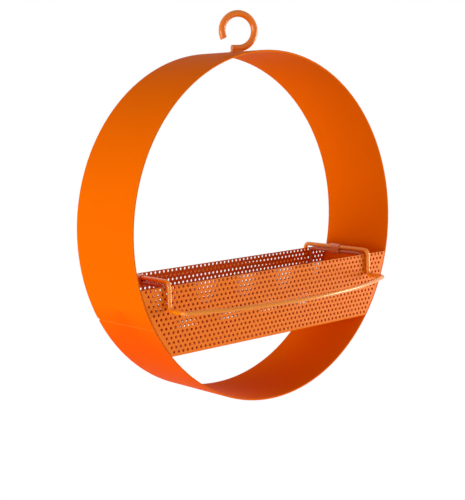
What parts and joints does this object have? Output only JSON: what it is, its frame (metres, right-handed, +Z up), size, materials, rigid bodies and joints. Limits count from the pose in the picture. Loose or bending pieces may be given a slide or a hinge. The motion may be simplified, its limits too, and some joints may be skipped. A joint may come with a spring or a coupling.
{
  "type": "bird feeder",
  "caption": "Hanging bird feeder: a round sheet-metal hoop with a perforated seed tray, a wire loop that makes a perch in front and behind, and an open rod hook on top, powder coated orange.",
  "frame": {"origin": "hanging point: the top of the hook's inside, where the feeder rests on a branch, nail or line", "axes": "+Z up, towards the hook; -Y is the front, the side with the longer perch legs; +X is to the right along the tray, seen from the front"},
  "size_m": [0.254, 0.1506, 0.2841],
  "materials": {
    "coated_sheet": "smooth satin orange powder coat on steel sheet",
    "coated_perforated_sheet": "satin orange powder coat on perforated steel sheet",
    "coated_wire": "glossier orange powder coat on steel wire"
  },
  "bodies": {
    "root": {"hoop": "coated_sheet", "hook": "coated_sheet", "tray": "coated_perforated_sheet", "perch_wire": "coated_wire", "left_tie_wire": "coated_wire", "right_tie_wire": "coated_wire", "left_ferrule": "coated_wire", "right_ferrule": "coated_wire"}
  },
  "joints": []
}
